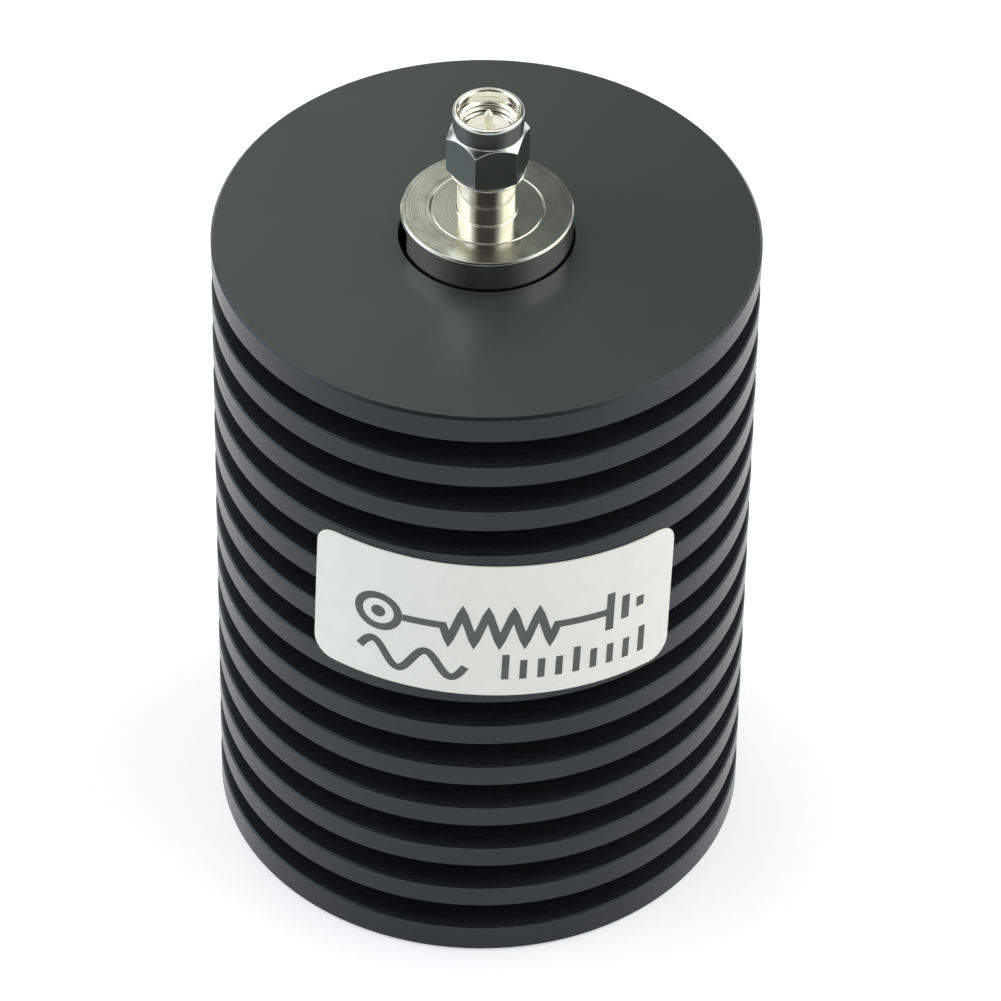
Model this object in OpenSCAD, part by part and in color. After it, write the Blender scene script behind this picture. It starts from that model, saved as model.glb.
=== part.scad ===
// Coaxial dummy load: a turned and finned heat sink that stands on its base and holds
// a resistor cartridge, with a screw-on coaxial plug in the middle of its top face.
// Millimetres, +Z up, origin at the middle of the base.

/* [Heat sink] */
// Outer diameter over the fins
sink_d = 60; // [54:1:72]
// Diameter of the solid core at the bottom of the grooves
core_d = 40; // [32:1:46]
// Number of fins, with the top and the base
fin_count = 13; // [10:1:16]
// Thickness of one fin
fin_t = 3.1; // [2.5:0.05:4]
// Thickness of the top
top_t = 3.45; // [2.5:0.05:6]
// Thickness of the base
base_t = 3.85; // [2.5:0.05:6]
// Width of the groove between two fins
groove_w = 3.35; // [2.5:0.05:5]
// Edge break on the lips of the grooves
fin_break = 0.2; // [0.1:0.05:0.4]
// Chamfer round the top face and round the base
rim_chamfer = 0.3; // [0.2:0.1:1]
// Depth of the relieved mouth of the cartridge's bore
hole_depth = 4; // [2:0.5:8]
// Gap between the housing and the relieved mouth
hole_gap = 0.17; // [0.1:0.01:0.3]
// Edge break round the relieved mouth
hole_break = 0.1; // [0.05:0.05:0.3]

/* [Cartridge] */
// Outer diameter of the housing
housing_d = 18.85; // [18:0.05:20]
// Depth of the housing below the top face
shank_l = 40; // [36:1:46]
// Wall of the housing round its chamber
housing_wall = 2.45; // [2.2:0.05:2.7]
// Height of the housing's top above the heat sink
head_rise = 3.7; // [3:0.05:6]
// Chamfer on the rim of the housing's top
head_chamfer = 0.2; // [0.1:0.05:0.4]
// Depth of the flat on the housing's -X side
flat_depth = 0.79; // [0.4:0.01:1]
// Thickness of the round rim that is left above the flat
flat_rim = 0.65; // [0.5:0.05:1.5]
// Thickness of the web under the connector
web_t = 2; // [1.5:0.1:3]
// Diameter of the hole through the web
web_d = 8; // [6:0.25:10]

/* [Connector body] */
// Diameter of the disc that is let into the housing
disc_d = 12.3; // [11.5:0.1:13]
// Thickness of the disc
disc_t = 2.5; // [1.5:0.1:3]
// Edge break on each side of the seam round the disc
seam_break = 0.1; // [0.05:0.05:0.25]
// Diameter of the barrel
barrel_d = 6.54; // [6.2:0.02:7]
// Length of the barrel with its shoulder
barrel_l = 5.75; // [4:0.05:8]
// Width of the cone at the barrel's foot
barrel_foot = 0.12; // [0.08:0.02:0.3]
// Diameter of the shoulder that the nut runs against
shoulder_d = 8.3; // [7.6:0.05:8.6]
// Thickness of the shoulder
shoulder_t = 0.3; // [0.25:0.05:0.8]
// Edge break on the shoulder
shoulder_break = 0.1; // [0.05:0.01:0.12]
// Diameter of the journal that the nut turns on
journal_d = 5.5; // [5.4:0.02:5.6]
// Length of the journal
journal_l = 3.75; // [3.5:0.05:4.2]
// Outer diameter of the ferrule that enters the mating jack
ferrule_d = 4.59; // [4.55:0.01:4.6]
// Length of the ferrule up to the reference plane
ferrule_l = 1.9; // [1.6:0.1:2.1]

/* [Contact and insulator] */
// Diameter of the insulator
insulator_d = 4.1; // [4:0.02:4.14]
// Diameter of the contact inside the insulator
contact_d = 1.27; // [1.1:0.01:1.4]
// Diameter of the contact's mating pin
pin_d = 0.92; // [0.9:0.01:0.94]
// Length of the mating pin beyond the reference plane
pin_l = 2.3; // [1.9:0.1:2.4]
// Length of the pin's pointed end
pin_point_l = 0.55; // [0.3:0.05:0.8]
// Diameter of the blunt tip of the pin
pin_tip_d = 0.26; // [0.2:0.02:0.4]
// Length of the contact's tail below the web
tail_l = 3; // [2.5:0.1:4]
// Length of the flat on the tail
tail_flat_l = 2.2; // [1.5:0.1:2.4]
// Distance of the tail's flat from the axis
tail_flat_y = 0.25; // [0.1:0.05:0.4]

/* [Coupling nut] */
// Size of the hexagon across its flats
nut_af = 8; // [7.9:0.01:8.2]
// Length of the nut
nut_l = 7.95; // [7.6:0.05:8.4]
// Turn of the hexagon about the axis
nut_turn = 13.5; // [0:0.5:60]
// Diameter of the chamfered end face of the hexagon
nut_end_d = 8.1; // [8.05:0.05:8.6]
// Rise of the chamfer at that end
nut_end_rise = 0.35; // [0.15:0.05:0.5]
// Diameter of the round collar at the mouth
collar_d = 7.74; // [7.64:0.02:7.8]
// Length of the round collar
collar_l = 2.6; // [2.3:0.1:2.9]
// Drop of the cone from the collar to the corners of the hexagon
cone_drop = 0.8; // [0.4:0.05:1]
// Radius of the rounded lip of the mouth
lip_r = 0.34; // [0.2:0.02:0.34]
// Diameter of the smooth mouth
mouth_d = 6.4; // [6.38:0.01:6.5]
// Depth of the smooth mouth
mouth_depth = 0.9; // [0.6:0.1:1.2]
// Edge break inside the mouth
mouth_break = 0.22; // [0.1:0.02:0.24]
// Major diameter of the nut's thread
thread_d = 6.35; // [6.3:0.01:6.36]
// Gap between the nut and the barrel's shoulder
shoulder_gap = 0.1; // [0.05:0.05:0.3]
// Running clearance between the nut and its journal, on the radius
running_gap = 0.05; // [0.03:0.01:0.08]

/* [Ring and gasket] */
// Thickness of the retaining ring
ring_t = 0.6; // [0.5:0.05:0.7]
// Distance from the barrel's shoulder to the ring
ring_rise = 1.9; // [1.6:0.1:2.1]
// Depth of the ring's groove in the journal
ring_groove = 0.35; // [0.3:0.05:0.4]
// Width of the ring across its section
ring_w = 0.5; // [0.4:0.02:0.58]
// Opening of the split ring
ring_split = 24; // [12:2:60]
// Clearance of the ring in its grooves
ring_gap = 0.08; // [0.05:0.01:0.15]
// Thickness of the gasket
gasket_t = 0.9; // [0.6:0.1:1.1]
// Width of the gasket across its section
gasket_w = 0.5; // [0.4:0.05:0.55]

/* [Resistor] */
// Thickness of the round foot of the carrier
carrier_foot = 6; // [4:0.5:8]
// Width of the termination's flange
flange_w = 9.5; // [8:0.25:10]
// Length of the termination's flange
flange_l = 20; // [18:0.5:24]
// Thickness of the termination's flange
flange_t = 1.5; // [1:0.1:2]
// Distance of the flange from the web
flange_drop = 2; // [1.5:0.25:4]
// Corner radius of the flange
flange_corner = 0.6; // [0.3:0.1:1]
// Size of the square ceramic chip
chip_w = 9; // [7:0.25:9]
// Thickness of the ceramic chip
chip_t = 1; // [0.6:0.1:1.2]
// Margin of the chip at the end of the flange
chip_inset = 0.4; // [0.2:0.1:0.8]
// Width of the lid over the resistor film
lid_w = 7.6; // [6:0.2:8]
// Length of the lid over the resistor film
lid_l = 6.2; // [5:0.2:6.6]
// Thickness of the lid
lid_t = 0.9; // [0.5:0.1:1.2]
// Bare edge of the chip beyond the lid, at the grounded end
lid_inset = 0.6; // [0.3:0.1:0.9]
// Width of the ribbon lead
tab_w = 1; // [0.7:0.05:1.1]
// Thickness of the ribbon lead
tab_t = 0.12; // [0.08:0.02:0.2]
// Length of the ribbon on the chip
tab_grip = 1.4; // [0.8:0.1:1.8]
// Diameter of the flange's screw
screw_d = 2.5; // [2:0.1:3]
// Clearance of that screw in the flange, on the radius
screw_gap = 0.2; // [0.1:0.05:0.3]
// Diameter of the screw's head
screw_head_d = 4.5; // [4:0.1:5.5]
// Height of the screw's head
screw_head_h = 2.5; // [2:0.1:3]
// Length of the screw below its head
screw_l = 4.5; // [3.5:0.1:4.8]
// Size of the hexagon socket across its flats
socket_af = 2; // [1.5:0.1:2.4]
// Depth of the hexagon socket
socket_depth = 1.3; // [0.8:0.1:1.6]
// Distance of the screw from the free end of the flange
screw_inset = 4; // [3:0.25:5]

/* [Label] */
// Length of the label along the curve
label_w = 42.2; // [30:0.1:60]
// Height of the label
label_h = 19.3; // [14:0.1:26]
// Thickness of the label
label_t = 0.15; // [0.1:0.05:0.3]
// Radius of the label's corners
label_corner = 2.5; // [1:0.25:4]
// Number of fins above the one that holds the label's top edge
label_fin = 3; // [1:1:4]
// Distance of the label's top edge below the top of that fin
label_drop = 1.7; // [0.5:0.05:2.5]
// Turn of the label's middle from the front towards +X
label_turn = 3.3; // [-30:0.1:30]
// Tilt of the label in its own plane, clockwise from the front
label_tilt = 2; // [-5:0.1:5]

/* [Hidden] */
// Segments in a full circle
$fn = 96;
// Steps in a quarter of a rounded edge
arc_steps = 6;
// Clearance between pieces that are seated in each other, on the radius
seat_gap = 0.02;
// Overrun of a cut past the face that it opens
cut = 1;

// Heights along the axis
fin_pitch = fin_t + groove_w;
sink_h = base_t + top_t + (fin_count - 2)*fin_t + (fin_count - 1)*groove_w;
head_top = sink_h + head_rise;
disc_bottom = head_top - disc_t;
chamber_top = disc_bottom - web_t;
housing_bottom = sink_h - shank_l;
shoulder_z = head_top + barrel_l;
ferrule_z = shoulder_z + journal_l;
reference_z = ferrule_z + ferrule_l;
nut_z = shoulder_z + shoulder_gap;
ring_z = shoulder_z + ring_rise;
tail_z = chamber_top - tail_l;

// Radii about the axis
sink_r = sink_d/2;
core_r = core_d/2;
housing_r = housing_d/2;
hole_r = housing_r + hole_gap;
chamber_r = housing_r - housing_wall;
disc_r = disc_d/2;
barrel_r = barrel_d/2;
journal_r = journal_d/2;
ferrule_r = ferrule_d/2;
insulator_r = insulator_d/2;
contact_r = contact_d/2;
pin_r = pin_d/2;
nut_corner_r = nut_af/2/cos(30);
nut_bore_r = journal_r + running_gap;
thread_r = thread_d/2;
ring_groove_r = journal_r - ring_groove;
ring_inner_r = ring_groove_r + ring_gap;
ring_outer_r = ring_inner_r + ring_w;

// Depths of the resistor stack, from the axis towards the carrier
ribbon_y = -tail_flat_y - tab_t;
chip_y = ribbon_y - chip_t;
flange_y = chip_y - flange_t;
flange_top = chamber_top - flange_drop;
flange_bottom = flange_top - flange_l;
chip_top = flange_top - chip_inset;
chip_bottom = chip_top - chip_w;
screw_z = flange_bottom + screw_inset;

// Label on the rims of the fins
label_r = sink_r + seat_gap;
label_fin_top = sink_h - top_t + fin_t - label_fin*fin_pitch;
label_top = label_fin_top - label_drop;

// Outline of groove number i above the base, with its lips
function groove_outline(i) = let (
    low = base_t + i*fin_pitch,
    high = low + groove_w
) [
    [sink_r, low - fin_break],
    [sink_r - fin_break, low],
    [core_r, low],
    [core_r, high],
    [sink_r - fin_break, high],
    [sink_r, high + fin_break]
];

// Quarter circle about a centre, from an angle
function quarter(centre, r, from) = [
    for (i = [0:arc_steps]) let (a = from + 90*i/arc_steps) centre + r*[cos(a), sin(a)]
];

// Turned bar with annular fins, bored from the top for the cartridge
module heat_sink() {
    color("#343a39") difference() {
        rotate_extrude() polygon(concat(
            [[0, 0], [sink_r - rim_chamfer, 0], [sink_r, rim_chamfer]],
            [for (i = [0:fin_count - 2]) each groove_outline(i)],
            [[sink_r, sink_h - rim_chamfer], [sink_r - rim_chamfer, sink_h], [0, sink_h]]
        ));
        translate([0, 0, housing_bottom])
            cylinder(r = housing_r + seat_gap, h = shank_l + cut);
        translate([0, 0, sink_h - hole_depth])
            cylinder(r = hole_r, h = hole_depth + cut);
        translate([0, 0, sink_h - hole_break])
            cylinder(r1 = hole_r, r2 = hole_r + hole_break + cut, h = hole_break + cut);
    }
}

// Plated housing: a tube that fits the heat sink, with a seat for the connector in its top
// and a flat on one side
module load_housing() {
    seat_r = disc_r + seat_gap;
    color("#b9b7a8") difference() {
        rotate_extrude() polygon([
            [chamber_r, housing_bottom],
            [housing_r, housing_bottom],
            [housing_r, head_top - head_chamfer],
            [housing_r - head_chamfer, head_top],
            [seat_r + seam_break, head_top],
            [seat_r, head_top - seam_break],
            [seat_r, disc_bottom],
            [web_d/2, disc_bottom],
            [web_d/2, chamber_top],
            [chamber_r, chamber_top]
        ]);
        translate([-housing_r - cut, -housing_r, sink_h - hole_depth])
            cube([flat_depth + cut, housing_d, hole_depth + head_rise - flat_rim]);
    }
}

// Turned connector body: disc, barrel, shoulder, journal with the ring's groove, and ferrule
module connector_body() {
    bore_r = insulator_r + seat_gap;
    shoulder_r = shoulder_d/2;
    shoulder_low = shoulder_z - shoulder_t;
    color("#cfcbb8") rotate_extrude() polygon([
        [bore_r, disc_bottom],
        [disc_r, disc_bottom],
        [disc_r, head_top - seam_break],
        [disc_r - seam_break, head_top],
        [barrel_r + barrel_foot, head_top],
        [barrel_r, head_top + barrel_foot],
        [barrel_r, shoulder_low],
        [shoulder_r - shoulder_break, shoulder_low],
        [shoulder_r, shoulder_low + shoulder_break],
        [shoulder_r, shoulder_z - shoulder_break],
        [shoulder_r - shoulder_break, shoulder_z],
        [journal_r, shoulder_z],
        [journal_r, ring_z - ring_gap],
        [ring_groove_r, ring_z - ring_gap],
        [ring_groove_r, ring_z + ring_t + ring_gap],
        [journal_r, ring_z + ring_t + ring_gap],
        [journal_r, ferrule_z],
        [ferrule_r, ferrule_z],
        [ferrule_r, reference_z],
        [bore_r, reference_z]
    ]);
}

// Hexagon with a chamfer at its foot, a cone, and a round collar at its mouth
module nut_blank() {
    collar_r = collar_d/2;
    collar_z = nut_l - collar_l;
    lip = [collar_r - lip_r, nut_l - lip_r];
    intersection() {
        rotate([0, 0, nut_turn]) cylinder(r = nut_corner_r, h = nut_l, $fn = 6);
        rotate_extrude() polygon(concat(
            [[0, 0], [nut_end_d/2, 0], [nut_corner_r, nut_end_rise]],
            [[nut_corner_r, collar_z - cone_drop], [collar_r, collar_z]],
            quarter(lip, lip_r, 0),
            [[0, nut_l]]
        ));
    }
}

// Coupling nut: it turns freely on the journal and is kept there by the split ring
module coupling_nut() {
    ring_low = ring_z - nut_z - ring_gap;
    ring_high = ring_low + ring_t + 2*ring_gap;
    ring_room_r = ring_outer_r + ring_gap;
    mouth_r = mouth_d/2;
    color("#8f9299") translate([0, 0, nut_z]) difference() {
        nut_blank();
        rotate_extrude() polygon([
            [0, -cut],
            [nut_bore_r, -cut],
            [nut_bore_r, ring_low],
            [ring_room_r, ring_low],
            [ring_room_r, ring_high],
            [thread_r, ring_high + thread_r - ring_room_r],
            [thread_r, nut_l - mouth_depth],
            [mouth_r, nut_l - mouth_depth],
            [mouth_r, nut_l - mouth_break],
            [mouth_r + mouth_break + cut, nut_l + cut],
            [0, nut_l + cut]
        ]);
    }
}

// Split ring in the grooves of the journal and of the nut
module retaining_ring() {
    color("#b08d57") translate([0, 0, ring_z]) rotate([0, 0, ring_split/2])
        rotate_extrude(angle = 360 - ring_split)
            translate([ring_inner_r, 0]) square([ring_w, ring_t]);
}

// Soft ring that seals against the end of the mating jack
module gasket() {
    color("#7d3a34") translate([0, 0, ferrule_z]) rotate_extrude()
        translate([ferrule_r + seat_gap, 0]) square([gasket_w, gasket_t]);
}

// Insulator between the connector body and the contact, flush with the reference plane
module insulator() {
    inner_r = contact_r + seat_gap;
    color("#efeadb") translate([0, 0, disc_bottom]) rotate_extrude()
        translate([inner_r, 0]) square([insulator_r - inner_r, reference_z - disc_bottom]);
}

// Contact with its mating pin at the top and a flat for the ribbon lead on its tail
module centre_contact() {
    pin_top = reference_z + pin_l;
    color("#d8b56a") difference() {
        rotate_extrude() polygon([
            [0, tail_z],
            [contact_r, tail_z],
            [contact_r, reference_z],
            [pin_r, reference_z],
            [pin_r, pin_top - pin_point_l],
            [pin_tip_d/2, pin_top],
            [0, pin_top]
        ]);
        translate([-contact_r - cut, -tail_flat_y - contact_r - cut, tail_z - cut])
            cube([2*(contact_r + cut), contact_r + cut, tail_flat_l + cut]);
    }
}

// Round copper slug with a flat seat, which takes the heat from the flange to the housing
module carrier() {
    carrier_r = chamber_r - seat_gap;
    color("#b5703f") difference() {
        translate([0, 0, housing_bottom]) cylinder(r = carrier_r, h = chamber_top - housing_bottom);
        translate([-carrier_r - cut, flange_y, housing_bottom + carrier_foot])
            cube([2*(carrier_r + cut), 2*carrier_r + cut, chamber_top - housing_bottom]);
        screw_axis() cylinder(r = screw_d/2 + seat_gap, h = screw_l + seat_gap);
    }
}

// Frame of the flange's screw: at the top of the flange, with +Z into the carrier
module screw_axis() {
    translate([0, chip_y, screw_z]) rotate([90, 0, 0]) children();
}

// Copper flange of the termination, with its corners rounded and one hole
module termination_flange() {
    color("#c7c2b3") difference() {
        translate([0, chip_y, flange_bottom]) rotate([90, 0, 0])
            linear_extrude(flange_t) rounded_plate(flange_w, flange_l, flange_corner);
        translate([0, cut, 0]) screw_axis()
            cylinder(r = screw_d/2 + screw_gap, h = flange_t + 2*cut);
    }
}

// Plate that stands on the axis, with four round corners
module rounded_plate(w, h, r) {
    translate([-w/2, r]) square([w, h - 2*r]);
    translate([r - w/2, 0]) square([w - 2*r, h]);
    for (x = [r - w/2, w/2 - r], y = [r, h - r])
        translate([x, y]) circle(r = r);
}

// Ceramic chip that carries the resistor film
module chip() {
    color("#d9d6cf") translate([-chip_w/2, chip_y, chip_bottom]) cube([chip_w, chip_t, chip_w]);
}

// Ceramic lid over the film
module chip_lid() {
    color("#f0eee6") translate([-lid_w/2, ribbon_y, chip_bottom + lid_inset])
        cube([lid_w, lid_t, lid_l]);
}

// Flat lead from the chip to the flat on the contact's tail
module ribbon_lead() {
    ribbon_bottom = chip_top - tab_grip;
    color("#d5d7da") translate([-tab_w/2, ribbon_y, ribbon_bottom])
        cube([tab_w, tab_t, tail_z + tail_flat_l - ribbon_bottom]);
}

// Socket-head screw that holds the flange down on the carrier
module flange_screw() {
    color("#6f7478") screw_axis() difference() {
        union() {
            cylinder(d = screw_d, h = screw_l);
            translate([0, 0, -screw_head_h]) cylinder(d = screw_head_d, h = screw_head_h);
        }
        translate([0, 0, -screw_head_h - cut])
            cylinder(d = socket_af/cos(30), h = socket_depth + cut, $fn = 6);
    }
}

// Point of the label's flat outline, tilted in its plane
function tilted(p) = [
    p[0]*cos(label_tilt) + p[1]*sin(label_tilt),
    p[1]*cos(label_tilt) - p[0]*sin(label_tilt)
];

// Such a point as it lies on the rims, seen from the front
function wrapped(p) = [label_r*sin(p[0]/label_r*180/PI), p[1]];

// Sticker that bridges the rims of the fins, with round corners
module rating_label() {
    x = label_w/2 - label_corner;
    y = label_h/2 - label_corner;
    outline = concat(
        quarter([x, y], label_corner, 0), quarter([-x, y], label_corner, 90),
        quarter([-x, -y], label_corner, 180), quarter([x, -y], label_corner, 270)
    );
    color("#e2e7de") rotate([0, 0, label_turn]) translate([0, 0, label_top - label_h/2]) intersection() {
        rotate_extrude() translate([label_r, -label_h]) square([label_t, 2*label_h]);
        rotate([90, 0, 0]) linear_extrude(label_r + label_t + cut)
            polygon([for (p = outline) wrapped(tilted(p))]);
    }
}

heat_sink();
load_housing();
connector_body();
coupling_nut();
retaining_ring();
gasket();
insulator();
centre_contact();
carrier();
termination_flange();
chip();
chip_lid();
ribbon_lead();
flange_screw();
rating_label();
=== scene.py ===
"""Looks of a coaxial dummy load: a black finned heat sink with a nickel-plated screw-on plug."""
import math

import bpy
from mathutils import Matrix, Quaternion, Vector


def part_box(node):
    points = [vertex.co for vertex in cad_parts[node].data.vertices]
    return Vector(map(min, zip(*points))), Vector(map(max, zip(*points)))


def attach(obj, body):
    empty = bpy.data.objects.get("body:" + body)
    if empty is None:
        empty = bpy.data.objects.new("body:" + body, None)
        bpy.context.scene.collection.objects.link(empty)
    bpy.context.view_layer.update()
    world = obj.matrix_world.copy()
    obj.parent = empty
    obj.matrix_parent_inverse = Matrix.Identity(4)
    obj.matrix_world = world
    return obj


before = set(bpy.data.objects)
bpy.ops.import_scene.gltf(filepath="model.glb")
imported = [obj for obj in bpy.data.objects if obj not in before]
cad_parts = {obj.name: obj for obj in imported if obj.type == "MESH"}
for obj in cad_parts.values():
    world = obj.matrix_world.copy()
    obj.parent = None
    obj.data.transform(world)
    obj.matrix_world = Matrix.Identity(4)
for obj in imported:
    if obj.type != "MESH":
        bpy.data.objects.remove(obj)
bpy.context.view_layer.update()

MM = 0.001

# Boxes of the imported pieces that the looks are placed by
sink_low, sink_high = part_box("heat_sink")
nut_low, nut_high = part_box("coupling_nut")
label_low, label_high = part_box("rating_label")

# Camera of the photograph
IMAGE_PIXELS = 1001
FOCAL_PIXELS = 6711.1
SENSOR_WIDTH = 36.0
CAMERA_PLACE = Vector((0.0, -552.43, 557.81)) * MM
CAMERA_AIM = Vector((2.0, 0.0, 41.95)) * MM
CAMERA_ROLL = math.radians(1.01)
NEAR_CLIP = 0.01
FAR_CLIP = 100.0

# Floor, which shows white and keeps the contact shadow, a hair below the base
FLOOR_REACH = 6.0
FLOOR_GAP = 0.02 * MM
FLOOR_COLOUR = (0.62, 0.62, 0.63, 1.0)
FLOOR_GLOW = (0.51, 0.51, 0.52, 1.0)

# Light of the studio by direction, with angles in degrees: azimuth from the camera's side towards +X,
# elevation, angle of the even middle, angle where it has faded out, and colour
STUDIO_BASE = (1.00, 1.02, 1.01, 1.0)
STUDIO_PATCHES = (
    ("top panel", 0, 88, 18, 46, (1.75, 1.76, 1.70, 1.0)),
    ("left panel", -105, 38, 22, 36, (1.92, 2.04, 2.16, 1.0)),
    ("right panel", 96, 38, 20, 36, (2.10, 2.06, 1.94, 1.0)),
    ("pale wall behind on the left", -152, 51, 18, 50, (1.75, 1.79, 1.64, 1.0)),
    ("dark corner behind on the right", 161, 38, 9, 32, (0.12, 0.14, 0.13, 1.0)),
    ("dark camera side", -3, 36, 23, 51, (0.05, 0.05, 0.05, 1.0)),
    ("low front panel", 0, 1, 8, 22, (1.56, 1.58, 1.56, 1.0)),
    ("low front panel on the left", -50, 2, 16, 30, (1.66, 1.68, 1.68, 1.0)),
    ("low front panel on the right", 50, 2, 16, 30, (1.68, 1.68, 1.64, 1.0)),
    ("dark corner low behind on the left", -141, 16, 9, 24, (0.14, 0.15, 0.15, 1.0)),
    ("dark corner low behind on the right", 141, 16, 9, 24, (0.14, 0.15, 0.15, 1.0)),
)

# Heat sink: depth of its anodised relief in metres, slope by which its faces fall outwards, depth in mm
# of the zone that counts as the top face, and weight of the coat there
ANODISE_DEPTH = 2.5e-6
ANODISE_FALL = -0.06
TOP_FACE_DEPTH = 0.6
TOP_COAT = 0.75
RIM_ROUGHNESS = 0.26
TOP_ROUGHNESS = 0.34

# Tones of the heat sink: rims, flat faces, the top face, whose paler tone is painted light on the same
# anodise, touched patches and specks
RIM_TONE = (0.0030, 0.0045, 0.0060, 1)
FLANK_TONE = (0.0155, 0.0195, 0.0205, 1)
TOP_PAINTED_LIGHT_TONE = (0.0205, 0.0270, 0.0240, 1)
TOUCHED_TONE = (0.050, 0.055, 0.050, 1)
SPECK_TONE = (0.06, 0.065, 0.062, 1)

# Plating in the nut's bore, painted brighter than the plating outside as painted light: its radius in mm,
# the width over which it fades into the plating outside, and its tone
BORE_RADIUS = 3.6
BORE_FADE = 0.15
BORE_PAINTED_LIGHT_TONE = (0.90, 0.88, 0.80, 1)

# Thread in the nut, by the standard of its size, with the widths of its ridge in shares of the pitch
THREAD_PITCH = 25.4 / 36 * MM
THREAD_MAJOR_R = 3.175 * MM
THREAD_MINOR_R = 2.87 * MM
THREAD_SINK = 0.02 * MM
THREAD_FOOT = 3.2 * MM
THREAD_MOUTH = 1.15 * MM
THREAD_STEPS = 64
HALF_CREST = 0.06
FLANK_WIDTH = 0.38
RUN_OUTS_PER_TURN = 3

# Corners in the section of the thread's ridge and of a printed stroke
SECTION_CORNERS = 4

# Print on the label, in the flat: u to the right, v up, from the label's middle
LABEL_TILT = math.radians(2.0)
INK_FILM = 0.03 * MM
INK_STEP = 0.6 * MM
STROKE = 0.95 * MM
THIN_STROKE = 0.8 * MM
SHARPEST_MITRE = 0.5
RING_STEPS = 40

# Upper row of the drawing, in mm: end of the coaxial line, resistor and end bars
UPPER_ROW = 0.5
LINE_END = -13.2
LINE_END_R = 2.3
LINE_CORE_R = 0.42
LEFT_LEAD = (-10.4, -5.9)
RIGHT_LEAD = (6.7, 12.4)
TEETH = 9
TEETH_START = -6.6
TOOTH_STEP = 1.4
TOOTH_HEIGHT = 2.3
BAR_START = 12.9
BAR_STEP = 1.9
BAR_HALVES = (2.7, 1.7, 0.7)

# Lower row of the drawing, in mm: wave and scale
LOWER_ROW = -5.5
WAVES = 2
WAVE_START = -15.2
WAVE_STEP = 0.3
WAVE_STEPS = 20
WAVE_HEIGHT = 1.7
SCALE_MARKS = 9
SCALE_START = 1.2
SCALE_STEP = 2.0
SCALE_FOOT = 1.7
TALL_MARK = 2.0
SHORT_MARK = 1.1
MARKS_PER_TALL = 4


# Shader nodes

def add_node(tree, kind, inputs=None, **settings):
    """A shader node with its settings, and with inputs that are set or linked."""
    node = tree.nodes.new(kind)
    for name, value in settings.items():
        setattr(node, name, value)
    for name, value in (inputs or {}).items():
        if isinstance(value, bpy.types.NodeSocket):
            tree.links.new(value, node.inputs[name])
        else:
            node.inputs[name].default_value = value
    return node


def maths(tree, operation, first, second=0.0):
    """Result of a sum on two values."""
    return add_node(tree, "ShaderNodeMath", {0: first, 1: second}, operation=operation).outputs[0]


def spread(tree, value, low, high, to_low=0.0, to_high=1.0):
    """A value eased from one range to another."""
    inputs = {"Value": value, "From Min": low, "From Max": high, "To Min": to_low, "To Max": to_high}
    return add_node(tree, "ShaderNodeMapRange", inputs, interpolation_type="SMOOTHSTEP").outputs[0]


def blend_colours(tree, share, first, second):
    """Colour between two, by a share from 0 to 1."""
    return add_node(tree, "ShaderNodeMix", {0: share, 6: first, 7: second}, data_type="RGBA").outputs[2]


def tint(tree, tone, mask, share, other):
    """A tone that takes a share of another colour where a mask is 1."""
    return blend_colours(tree, maths(tree, "MULTIPLY", mask, share), tone, other)


def new_group(name, inputs, outputs):
    """An empty node group with named values in and out; an output called Normal is a vector."""
    group = bpy.data.node_groups.new(name, "ShaderNodeTree")
    for label, value in inputs.items():
        socket = group.interface.new_socket(label, in_out="INPUT", socket_type="NodeSocketFloat")
        socket.default_value = value
    for label in outputs:
        kind = "NodeSocketVector" if label == "Normal" else "NodeSocketFloat"
        group.interface.new_socket(label, in_out="OUTPUT", socket_type=kind)
    return group, group.nodes.new("NodeGroupInput").outputs, group.nodes.new("NodeGroupOutput").inputs


def place_group(tree, group, values):
    """Outputs of a node group placed in a material with its own values."""
    node = tree.nodes.new("ShaderNodeGroup")
    node.node_tree = group
    for name, value in values.items():
        node.inputs[name].default_value = value
    return node.outputs


def in_millimetres(tree):
    """Place on the piece in millimetres, in the piece's own frame."""
    place = add_node(tree, "ShaderNodeTexCoord").outputs["Object"]
    inputs = {0: place, "Scale": 1 / MM}
    return add_node(tree, "ShaderNodeVectorMath", inputs, operation="SCALE").outputs[0]


def noise(tree, place, scale, detail=2.0):
    """Soft noise in space, from 0 to 1."""
    inputs = {"Vector": place, "Scale": scale, "Detail": detail}
    return add_node(tree, "ShaderNodeTexNoise", inputs).outputs[0]


def line_noise(tree, along, scale, detail=2.0):
    """Soft noise along one value, from 0 to 1."""
    inputs = {"W": along, "Scale": scale, "Detail": detail}
    return add_node(tree, "ShaderNodeTexNoise", inputs, noise_dimensions="1D").outputs[0]


# Effects that several finishes share

def make_turned_marks():
    """Rings that a lathe leaves about the axis, on faces as well as on barrels."""
    slow_per_fine = 0.3
    patches_per_mm = 0.35
    patch_low, patch_high = 0.3, 0.7
    faintest_ring = 0.4
    inputs = {"Marks per mm": 4.0, "Slope": 0.0}
    group, given, result = new_group("turned_marks", inputs, ["Height", "Streak", "Radius mm"])
    place = in_millimetres(group)
    parts = add_node(group, "ShaderNodeSeparateXYZ", {0: place}).outputs
    flat = add_node(group, "ShaderNodeCombineXYZ", {0: parts[0], 1: parts[1]}).outputs[0]
    radius = add_node(group, "ShaderNodeVectorMath", {0: flat}, operation="LENGTH").outputs["Value"]
    along = maths(group, "ADD", radius, parts[2])
    fine = line_noise(group, along, given["Marks per mm"])
    slow = line_noise(group, along, maths(group, "MULTIPLY", given["Marks per mm"], slow_per_fine))
    patchy = spread(group, noise(group, place, patches_per_mm), patch_low, patch_high, faintest_ring, 1.0)
    rings = maths(group, "MULTIPLY", maths(group, "ADD", fine, slow), patchy)
    fall = maths(group, "MULTIPLY", radius, given["Slope"])
    group.links.new(maths(group, "ADD", rings, fall), result["Height"])
    group.links.new(maths(group, "MULTIPLY", slow, patchy), result["Streak"])
    group.links.new(radius, result["Radius mm"])
    return group


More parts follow.
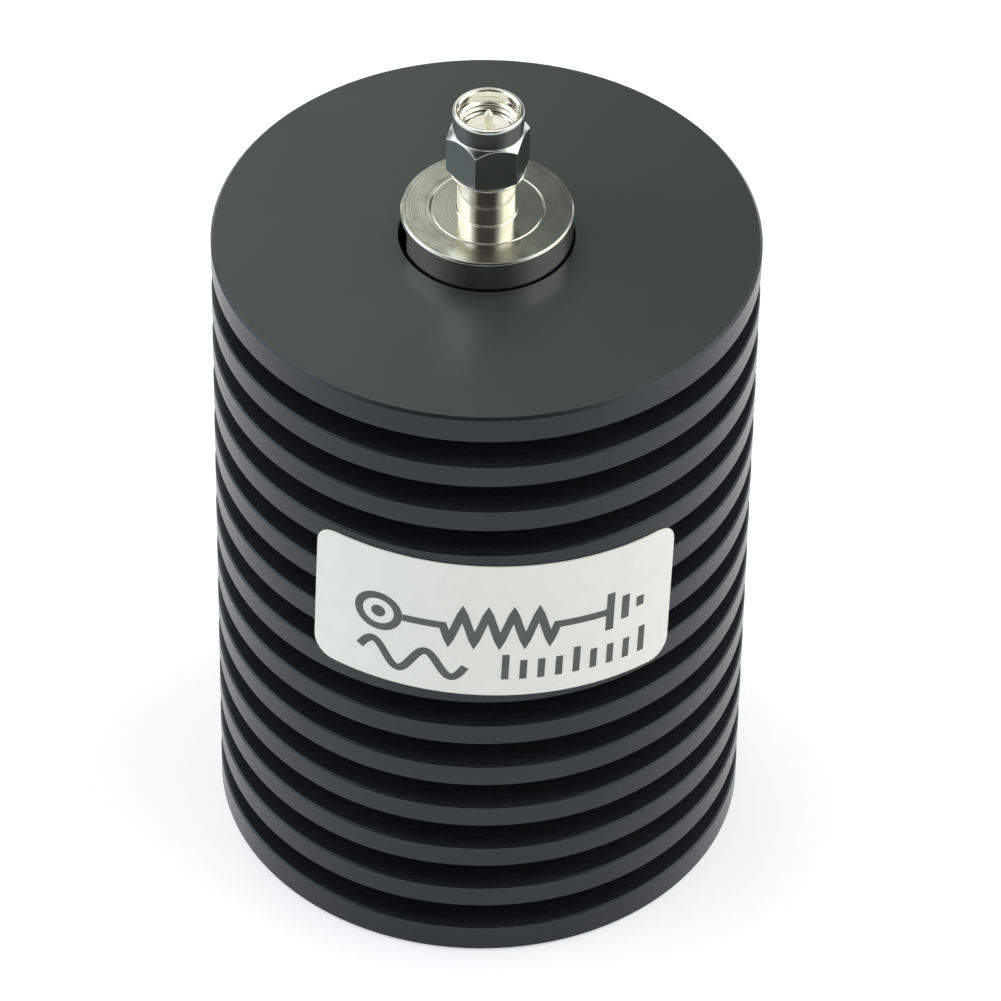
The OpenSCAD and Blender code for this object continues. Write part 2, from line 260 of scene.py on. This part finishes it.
def make_fine_grain():
    """Fine grain of a blasted, cast or coated surface, with a few specks."""
    grain_detail = 3.0
    specks_per_grain = 0.12
    speck_core, speck_edge = 0.03, 0.10
    group, given, result = new_group("fine_grain", {"Grains per mm": 6.0}, ["Height", "Speck"])
    place = in_millimetres(group)
    group.links.new(noise(group, place, given["Grains per mm"], grain_detail), result["Height"])
    inputs = {"Vector": place, "Scale": maths(group, "MULTIPLY", given["Grains per mm"], specks_per_grain)}
    cells = add_node(group, "ShaderNodeTexVoronoi", inputs).outputs["Distance"]
    group.links.new(spread(group, cells, speck_core, speck_edge, 1.0, 0.0), result["Speck"])
    return group


def make_handling_marks():
    """Soft patches left by handling: 1 where the surface was touched most."""
    patch_detail = 4.0
    edge_without_cover = 0.85
    edge_drop = 0.6
    fade_below, fade_above = 0.16, 0.12
    group, given, result = new_group("handling_marks", {"Patches per mm": 0.1, "Cover": 0.5}, ["Mask"])
    place = in_millimetres(group)
    broad = noise(group, place, given["Patches per mm"], patch_detail)
    drop = maths(group, "MULTIPLY", given["Cover"], edge_drop)
    edge = maths(group, "SUBTRACT", edge_without_cover, drop)
    low = maths(group, "SUBTRACT", edge, fade_below)
    high = maths(group, "ADD", edge, fade_above)
    group.links.new(spread(group, broad, low, high), result["Mask"])
    return group


def make_worn_and_highlit_edges():
    """Broken band along the sharp edges, where a coat wears first and where a painted highlight goes, and
    the rounded edge's normal.
    """
    bevel_samples = 4
    on_edge, on_flat = 0.80, 0.995
    break_detail = 4.0
    break_low, break_high = 0.35, 0.65
    inputs = {"Width mm": 0.2, "Breaks per mm": 1.5}
    group, given, result = new_group("worn_and_highlit_edges", inputs, ["Mask", "Normal"])
    width = maths(group, "MULTIPLY", given["Width mm"], MM)
    rounded = add_node(group, "ShaderNodeBevel", {"Radius": width}, samples=bevel_samples).outputs[0]
    true = add_node(group, "ShaderNodeNewGeometry").outputs["Normal"]
    inputs = {0: rounded, 1: true}
    facing = add_node(group, "ShaderNodeVectorMath", inputs, operation="DOT_PRODUCT").outputs["Value"]
    near = spread(group, facing, on_edge, on_flat, 1.0, 0.0)
    breaks = noise(group, in_millimetres(group), given["Breaks per mm"], break_detail)
    broken = spread(group, breaks, break_low, break_high)
    group.links.new(maths(group, "MULTIPLY", near, broken), result["Mask"])
    group.links.new(rounded, result["Normal"])
    return group


def make_faced_ends():
    """Faces square to the axis, which were cut apart from the barrels: 1 on a face."""
    barrel_limit, face_limit = 0.6, 0.95
    group, _, result = new_group("faced_ends", {}, ["Mask"])
    normal = add_node(group, "ShaderNodeNewGeometry").outputs["True Normal"]
    normal = add_node(
        group, "ShaderNodeVectorTransform", {0: normal},
        vector_type="NORMAL", convert_from="WORLD", convert_to="OBJECT",
    ).outputs[0]
    along = add_node(group, "ShaderNodeSeparateXYZ", {0: normal}).outputs[2]
    square = maths(group, "ABSOLUTE", along)
    group.links.new(spread(group, square, barrel_limit, face_limit), result["Mask"])
    return group


turned_marks = make_turned_marks()
fine_grain = make_fine_grain()
handling_marks = make_handling_marks()
worn_and_highlit_edges = make_worn_and_highlit_edges()
faced_ends = make_faced_ends()


# Finishes

def new_finish(name):
    """A material with one surface shader, its node tree and that shader's inputs."""
    material = bpy.data.materials.new(name)
    material.use_nodes = True
    tree = material.node_tree
    tree.nodes.clear()
    shader = add_node(tree, "ShaderNodeBsdfPrincipled")
    add_node(tree, "ShaderNodeOutputMaterial", {"Surface": shader.outputs[0]})
    return material, tree, shader.inputs


def raise_surface(tree, height, depth, normal=None):
    """Normal of a surface that rises by a height from 0 to 1, times a depth in metres."""
    inputs = {"Height": height, "Distance": depth}
    if normal is not None:
        inputs["Normal"] = normal
    return add_node(tree, "ShaderNodeBump", inputs).outputs[0]


def black_anodise():
    """Satin black anodised aluminium: turned, with faint grain, touched patches, and a top face painted
    paler as painted light and given a coat.
    """
    touched_share = 0.10
    speck_share = 0.10
    streak_dulling = 0.05
    material, tree, surface = new_finish("black_anodise")
    slope = ANODISE_FALL / ANODISE_DEPTH * MM
    marks = place_group(tree, turned_marks, {"Marks per mm": 2.5, "Slope": slope})
    grain = place_group(tree, fine_grain, {"Grains per mm": 7.0})
    touched = place_group(tree, handling_marks, {"Patches per mm": 0.06, "Cover": 0.5})["Mask"]
    faced = place_group(tree, faced_ends, {})["Mask"]
    height = add_node(tree, "ShaderNodeSeparateXYZ", {0: in_millimetres(tree)}).outputs[2]
    top_height = sink_high.z / MM
    near_top = spread(tree, height, top_height - TOP_FACE_DEPTH, top_height - TOP_FACE_DEPTH / 2)
    top_face = maths(tree, "MULTIPLY", faced, near_top)
    tree.links.new(maths(tree, "MULTIPLY", top_face, TOP_COAT), surface["Coat Weight"])
    surface["Coat IOR"].default_value = 1.5
    surface["Coat Roughness"].default_value = 0.24
    tone = blend_colours(tree, faced, RIM_TONE, FLANK_TONE)
    # The top face's paler tone is painted light: it is the same anodise as the rims, painted lighter for the
    # light that falls on it.
    tone = blend_colours(tree, top_face, tone, TOP_PAINTED_LIGHT_TONE)
    tone = tint(tree, tone, touched, touched_share, TOUCHED_TONE)
    tone = tint(tree, tone, grain["Speck"], speck_share, SPECK_TONE)
    tree.links.new(tone, surface["Base Color"])
    roughness = spread(tree, top_face, 0, 1, RIM_ROUGHNESS, TOP_ROUGHNESS)
    roughness = maths(tree, "ADD", roughness, maths(tree, "MULTIPLY", marks["Streak"], streak_dulling))
    tree.links.new(roughness, surface["Roughness"])
    surface["IOR"].default_value = 1.43
    surface["Specular Tint"].default_value = (0.80, 0.98, 1.04, 1)
    relief = maths(tree, "ADD", grain["Height"], marks["Height"])
    tree.links.new(raise_surface(tree, relief, ANODISE_DEPTH), surface["Normal"])
    return material


def turned_metal(
        name, bright, dull, roughness, marks_per_mm=4.0, slope=0.0, depth=1.6e-6, edge=0.08, bore=0.0,
        wall=None):
    """Turned metal: rings, dull patches and rounded edges painted brighter, partly as rubbed plating and
    partly as painted highlight, and maybe a bore painted brighter as painted light or a wall painted darker
    as painted shade.
    """
    speck_share = 0.5
    edge_share = 0.6
    edge_gain = 1.15
    touched_dulling = 0.04
    streak_dulling = 0.06
    material, tree, surface = new_finish(name)
    marks = place_group(tree, turned_marks, {"Marks per mm": marks_per_mm, "Slope": slope / depth * MM})
    grain = place_group(tree, fine_grain, {"Grains per mm": 9.0})
    touched = place_group(tree, handling_marks, {"Patches per mm": 0.30, "Cover": 0.5})["Mask"]
    edges = place_group(tree, worn_and_highlit_edges, {"Width mm": edge, "Breaks per mm": 3.0})
    tone = blend_colours(tree, touched, bright, dull)
    tone = tint(tree, tone, grain["Speck"], speck_share, dull)
    # The bore takes a brighter tone: painted light for the light inside the nut's mouth.
    if bore > 0:
        inside = spread(tree, marks["Radius mm"], bore, bore + BORE_FADE, 1.0, 0.0)
        tone = blend_colours(tree, inside, tone, BORE_PAINTED_LIGHT_TONE)
    # The side wall takes a darker tone than the faces square to the axis: painted shade.
    if wall is not None:
        faced = place_group(tree, faced_ends, {})["Mask"]
        tone = blend_colours(tree, faced, wall, tone)
    # Edges painted brighter: partly rubbed plating, partly painted highlight.
    rubbed_and_highlit_edge_tone = tuple(min(1, edge_gain * channel) for channel in bright)
    tone = tint(tree, tone, edges["Mask"], edge_share, rubbed_and_highlit_edge_tone)
    tree.links.new(tone, surface["Base Color"])
    polish = spread(tree, touched, 0, 1, roughness, roughness + touched_dulling)
    polish = maths(tree, "ADD", polish, maths(tree, "MULTIPLY", marks["Streak"], streak_dulling))
    tree.links.new(polish, surface["Roughness"])
    surface["Metallic"].default_value = 1.0
    tree.links.new(raise_surface(tree, marks["Height"], depth, edges["Normal"]), surface["Normal"])
    return material


def even_material(name, tone, darker, roughness, grains_per_mm=5.0, depth=4e-6):
    """Moulded, fired or pressed stuff: fine grain and slow shifts of tone."""
    touched_share = 0.6
    speck_share = 0.3
    grain_low, grain_high = 0.2, 0.8
    swing = 0.06
    material, tree, surface = new_finish(name)
    grain = place_group(tree, fine_grain, {"Grains per mm": grains_per_mm})
    touched = place_group(tree, handling_marks, {"Patches per mm": 0.4, "Cover": 0.6})["Mask"]
    colour = tint(tree, tone, touched, touched_share, darker)
    colour = tint(tree, colour, grain["Speck"], speck_share, darker)
    tree.links.new(colour, surface["Base Color"])
    dulling = spread(tree, grain["Height"], grain_low, grain_high, roughness - swing, roughness + swing)
    tree.links.new(dulling, surface["Roughness"])
    tree.links.new(raise_surface(tree, grain["Height"], depth), surface["Normal"])
    return material


finishes = {
    "heat_sink": black_anodise(),
    # The housing's side wall is painted darker than its top face: painted shade.
    "load_housing": turned_metal(
        "nickel_housing", bright=(0.69, 0.68, 0.61, 1), dull=(0.46, 0.455, 0.41, 1), roughness=0.13,
        slope=-0.06, depth=1e-5, wall=(0.46, 0.46, 0.43, 1)),
    "connector_body": turned_metal(
        "nickel_body", bright=(0.76, 0.75, 0.68, 1), dull=(0.68, 0.67, 0.60, 1), roughness=0.09,
        slope=-0.05, depth=4e-6),
    # The nut's bore is painted brighter than its outside: painted light.
    "coupling_nut": turned_metal(
        "nickel_nut", bright=(0.56, 0.585, 0.57, 1), dull=(0.46, 0.48, 0.47, 1), roughness=0.10,
        marks_per_mm=3.0, edge=0.16, bore=BORE_RADIUS),
    "retaining_ring": turned_metal(
        "spring_bronze", bright=(0.62, 0.44, 0.22, 1), dull=(0.40, 0.27, 0.13, 1), roughness=0.25),
    "gasket": even_material(
        "red_silicone", tone=(0.16, 0.025, 0.018, 1), darker=(0.10, 0.015, 0.012, 1), roughness=0.55),
    "insulator": even_material(
        "white_insulator", tone=(0.97, 0.955, 0.89, 1), darker=(0.94, 0.915, 0.84, 1), roughness=0.42),
    "centre_contact": turned_metal(
        "plated_contact", bright=(0.98, 0.95, 0.86, 1), dull=(0.95, 0.91, 0.80, 1), roughness=0.45),
    "carrier": turned_metal(
        "bare_copper", bright=(0.66, 0.33, 0.20, 1), dull=(0.45, 0.21, 0.13, 1), roughness=0.28),
    "termination_flange": turned_metal(
        "plated_copper", bright=(0.68, 0.65, 0.58, 1), dull=(0.52, 0.47, 0.40, 1), roughness=0.24),
    "chip": even_material(
        "chip_ceramic", tone=(0.58, 0.56, 0.50, 1), darker=(0.48, 0.46, 0.41, 1), roughness=0.45),
    "chip_lid": even_material(
        "lid_ceramic", tone=(0.80, 0.79, 0.73, 1), darker=(0.70, 0.68, 0.62, 1), roughness=0.38),
    "ribbon_lead": turned_metal(
        "silver_ribbon", bright=(0.86, 0.86, 0.85, 1), dull=(0.66, 0.65, 0.62, 1), roughness=0.16),
    "flange_screw": turned_metal(
        "screw_steel", bright=(0.46, 0.47, 0.48, 1), dull=(0.30, 0.31, 0.32, 1), roughness=0.26),
    "rating_label": even_material(
        "label_paper", tone=(0.89, 0.93, 0.88, 1), darker=(0.85, 0.89, 0.84, 1), roughness=0.46,
        grains_per_mm=8.0, depth=5e-6),
}
for node_name, finish in finishes.items():
    for material_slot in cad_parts[node_name].material_slots:
        material_slot.material = finish

label_ink = even_material(
    "label_ink", tone=(0.055, 0.070, 0.060, 1), darker=(0.085, 0.10, 0.09, 1), roughness=0.42,
    grains_per_mm=4.0)


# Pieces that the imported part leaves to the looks

def add_piece(name, points, faces, material, body):
    """A mesh piece that moves with a body of the part."""
    mesh = bpy.data.meshes.new(name)
    mesh.from_pydata(points, [], faces)
    mesh.materials.append(material)
    piece = bpy.data.objects.new(name, mesh)
    bpy.context.scene.collection.objects.link(piece)
    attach(piece, body)


def tube_faces(rings, closed):
    """Faces of a tube through rings of points, with flat ends unless it closes on itself."""
    faces = []
    for ring in range(rings if closed else rings - 1):
        here = ring * SECTION_CORNERS
        there = (ring + 1) % rings * SECTION_CORNERS
        for corner in range(SECTION_CORNERS):
            after = (corner + 1) % SECTION_CORNERS
            faces.append((here + corner, here + after, there + after, there + corner))
    if not closed:
        last = (rings - 1) * SECTION_CORNERS
        faces.append(tuple(reversed(range(SECTION_CORNERS))))
        faces.append(tuple(last + corner for corner in range(SECTION_CORNERS)))
    return faces


def nut_thread():
    """Ridge of the nut's thread, which runs out into the bore at both ends."""
    start = nut_low.z + THREAD_FOOT
    rise = nut_high.z - THREAD_MOUTH - start
    steps = round(THREAD_STEPS * rise / THREAD_PITCH)
    root = THREAD_MAJOR_R + THREAD_SINK
    half_crest = THREAD_PITCH * HALF_CREST
    points = []
    for step in range(steps + 1):
        angle = 2 * math.pi * step / THREAD_STEPS
        height = start + THREAD_PITCH * step / THREAD_STEPS
        nearest_end = min(step, steps - step)
        full = min(1.0, RUN_OUTS_PER_TURN * nearest_end / THREAD_STEPS)
        crest = THREAD_MAJOR_R - full * (THREAD_MAJOR_R - THREAD_MINOR_R)
        half_root = THREAD_PITCH * (HALF_CREST + FLANK_WIDTH * full)
        outline = ((root, -half_root), (root, half_root), (crest, half_crest), (crest, -half_crest))
        for radius, offset in outline:
            points.append((radius * math.cos(angle), radius * math.sin(angle), height + offset))
    add_piece(
        "nut_thread", points, tube_faces(steps + 1, False), finishes["coupling_nut"], "nut")


label_radius = -label_low.y
label_turn = (math.asin(label_low.x / label_radius) + math.asin(label_high.x / label_radius)) / 2
label_middle = (label_low.z + label_high.z) / 2


def on_label(u, v, lift):
    """Point of the flat print as it lies on the curved, slightly tilted label."""
    along = u * math.cos(LABEL_TILT) + v * math.sin(LABEL_TILT)
    rise = v * math.cos(LABEL_TILT) - u * math.sin(LABEL_TILT)
    angle = label_turn + along / label_radius
    radius = label_radius + lift
    return (radius * math.sin(angle), -radius * math.cos(angle), label_middle + rise)


def dense_path(path, closed):
    """The path with points added, so that no step is too long to follow the curve."""
    dense = []
    for first, second in zip(path, path[1:] + path[:1] if closed else path[1:]):
        count = max(1, math.ceil((second - first).length / INK_STEP))
        dense += [first.lerp(second, step / count) for step in range(count)]
    return dense if closed else dense + [path[-1]]


def stroke(path, width=STROKE, closed=False):
    """Points and faces of a printed stroke along a flat path, as a thin solid on the label."""
    path = dense_path([Vector(point) for point in path], closed)
    points = []
    for index, point in enumerate(path):
        before = path[index - 1] if closed or index > 0 else point
        after = path[(index + 1) % len(path)] if closed or index < len(path) - 1 else point
        steps = [step.normalized() for step in (point - before, after - point) if step.length > 0]
        along = sum(steps, Vector((0, 0))).normalized()
        side = Vector((-along.y, along.x)) * width / 2 / max(SHARPEST_MITRE, along.dot(steps[0]))
        left, right = point + side, point - side
        for place, lift in ((left, -INK_FILM), (left, INK_FILM), (right, INK_FILM), (right, -INK_FILM)):
            points.append(on_label(place.x, place.y, lift))
    return points, tube_faces(len(path), closed)


def circle(u, v, radius):
    """Points of a flat circle."""
    turns = [2 * math.pi * step / RING_STEPS for step in range(RING_STEPS)]
    return [(u + radius * math.cos(turn), v + radius * math.sin(turn)) for turn in turns]


def resistor():
    """Path of the resistor's zigzag with its two leads, in mm."""
    teeth = []
    for step in range(1, TEETH + 1):
        teeth.append((TEETH_START + TOOTH_STEP * step, TOOTH_HEIGHT * (-1) ** step))
    return [(u, 0) for u in LEFT_LEAD] + teeth + [(u, 0) for u in RIGHT_LEAD]


def wave():
    """Path of the wave, in mm."""
    path = []
    for step in range(WAVES * WAVE_STEPS + 1):
        path.append((WAVE_START + WAVE_STEP * step, WAVE_HEIGHT * math.sin(2 * math.pi * step / WAVE_STEPS)))
    return path


def label_print():
    """Plain drawing on the label: a coaxial line into a resistor, and below it a wave and a scale."""
    upper = UPPER_ROW * MM
    lower = LOWER_ROW * MM
    strokes = [
        stroke(circle(LINE_END * MM, upper, LINE_END_R * MM), closed=True),
        stroke(circle(LINE_END * MM, upper, LINE_CORE_R * MM), THIN_STROKE, closed=True),
        stroke([(u * MM, upper + v * MM) for u, v in resistor()]),
        stroke([(u * MM, lower + v * MM) for u, v in wave()]),
    ]
    for index, half in enumerate(BAR_HALVES):
        u = (BAR_START + BAR_STEP * index) * MM
        strokes.append(stroke([(u, upper - half * MM), (u, upper + half * MM)]))
    for index in range(SCALE_MARKS):
        u = (SCALE_START + SCALE_STEP * index) * MM
        height = TALL_MARK if index % MARKS_PER_TALL == 0 else SHORT_MARK
        strokes.append(stroke([(u, lower - SCALE_FOOT * MM), (u, lower + height * MM)], THIN_STROKE))
    points, faces = [], []
    for new_points, new_faces in strokes:
        faces += [tuple(len(points) + corner for corner in face) for face in new_faces]
        points += new_points
    add_piece("label_print", points, faces, label_ink, "load")


nut_thread()
label_print()


# Studio

def towards(azimuth, elevation):
    """Direction to a place in the studio; azimuth 0 is the camera's side and 90 is +X."""
    turn, rise = math.radians(azimuth), math.radians(elevation)
    return (math.sin(turn) * math.cos(rise), -math.cos(turn) * math.cos(rise), math.sin(rise))


def studio_light():
    """Soft light of a studio: pale walls, panels above, at the sides and low in front, and dark corners."""
    world = bpy.data.worlds.new("studio")
    bpy.context.scene.world = world
    world.use_nodes = True
    tree = world.node_tree
    tree.nodes.clear()
    direction = add_node(tree, "ShaderNodeTexCoord").outputs["Generated"]
    colour = STUDIO_BASE
    for name, azimuth, elevation, even, faded, tone in STUDIO_PATCHES:
        inputs = {0: direction, 1: towards(azimuth, elevation)}
        patch = add_node(tree, "ShaderNodeVectorMath", inputs, operation="DOT_PRODUCT", label=name)
        facing = patch.outputs["Value"]
        share = spread(tree, facing, math.cos(math.radians(faded)), math.cos(math.radians(even)))
        colour = blend_colours(tree, share, colour, tone)
    background = add_node(tree, "ShaderNodeBackground", {"Color": colour})
    add_node(tree, "ShaderNodeOutputWorld", {"Surface": background.outputs[0]})


def white_floor():
    """Floor under the part: it shows white, also in the metal, and takes the shadow."""
    material = bpy.data.materials.new("white_floor")
    material.use_nodes = True
    tree = material.node_tree
    tree.nodes.clear()
    matt = add_node(tree, "ShaderNodeBsdfDiffuse", {"Color": FLOOR_COLOUR}).outputs[0]
    ray = add_node(tree, "ShaderNodeLightPath").outputs
    seen = maths(tree, "ADD", ray["Is Camera Ray"], ray["Is Glossy Ray"])
    seen = maths(tree, "MINIMUM", maths(tree, "ADD", seen, ray["Is Transmission Ray"]), 1.0)
    glow = add_node(tree, "ShaderNodeEmission", {"Color": FLOOR_GLOW, "Strength": seen}).outputs[0]
    both = add_node(tree, "ShaderNodeAddShader", {0: matt, 1: glow}).outputs[0]
    add_node(tree, "ShaderNodeOutputMaterial", {"Surface": both})
    mesh = bpy.data.meshes.new("floor")
    quarters = ((-1, -1), (1, -1), (1, 1), (-1, 1))
    corners = [(x * FLOOR_REACH, y * FLOOR_REACH, sink_low.z - FLOOR_GAP) for x, y in quarters]
    mesh.from_pydata(corners, [], [(0, 1, 2, 3)])
    mesh.materials.append(material)
    floor = bpy.data.objects.new("floor", mesh)
    bpy.context.scene.collection.objects.link(floor)


def photo_camera():
    """Camera at the photograph's place, aim, roll and focal length."""
    data = bpy.data.cameras.new("photo_camera")
    data.sensor_width = SENSOR_WIDTH
    data.lens = SENSOR_WIDTH * FOCAL_PIXELS / IMAGE_PIXELS
    data.clip_start = NEAR_CLIP
    data.clip_end = FAR_CLIP
    camera = bpy.data.objects.new("photo_camera", data)
    bpy.context.scene.collection.objects.link(camera)
    camera.location = CAMERA_PLACE
    camera.rotation_mode = "QUATERNION"
    level = (CAMERA_AIM - CAMERA_PLACE).to_track_quat("-Z", "Y")
    camera.rotation_quaternion = level @ Quaternion((0, 0, 1), CAMERA_ROLL)
    bpy.context.scene.camera = camera


studio_light()
white_floor()
photo_camera()
bpy.context.scene.view_settings.view_transform = "Standard"
